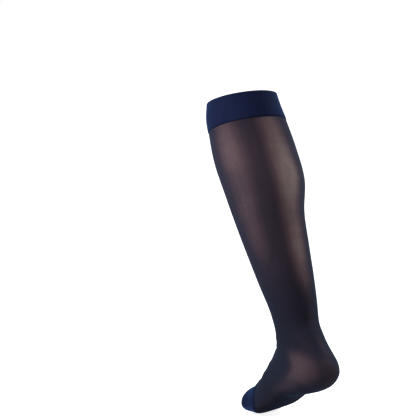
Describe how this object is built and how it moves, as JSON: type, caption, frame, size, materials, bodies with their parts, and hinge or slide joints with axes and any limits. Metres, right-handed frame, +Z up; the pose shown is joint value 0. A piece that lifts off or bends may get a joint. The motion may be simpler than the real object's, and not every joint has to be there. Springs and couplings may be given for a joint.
{
  "type": "compression stocking",
  "caption": "Knee-high compression stocking, left foot, worn form and hollow: opaque knee band, sheer graduated leg, shaped closed heel and an open toe with an opaque band.",
  "frame": {"origin": "The centre of the knee band, on the axis of the leg, where the wearer's leg holds the stocking up.", "axes": "+Z is up and -Z is down to the sole. The toes point to -Y and the heel to +Y. +X is the outer side of the leg and -X the inner side. The stocking keeps the pose of a step: the shin leans forward, and the sole is pitched 20 degrees with the heel up."},
  "size_m": [0.1178, 0.2414, 0.4503],
  "materials": {
    "navy_welt": "opaque double-turned knit, matt, navy",
    "sheer_knit": "fine sheer elastic knit, dark navy, see-through where it is stretched most, soft sheen at the edges"
  },
  "bodies": {
    "root": {"top_welt": "navy_welt", "leg": "sheer_knit", "foot": "sheer_knit", "toe_welt": "navy_welt"}
  },
  "joints": []
}
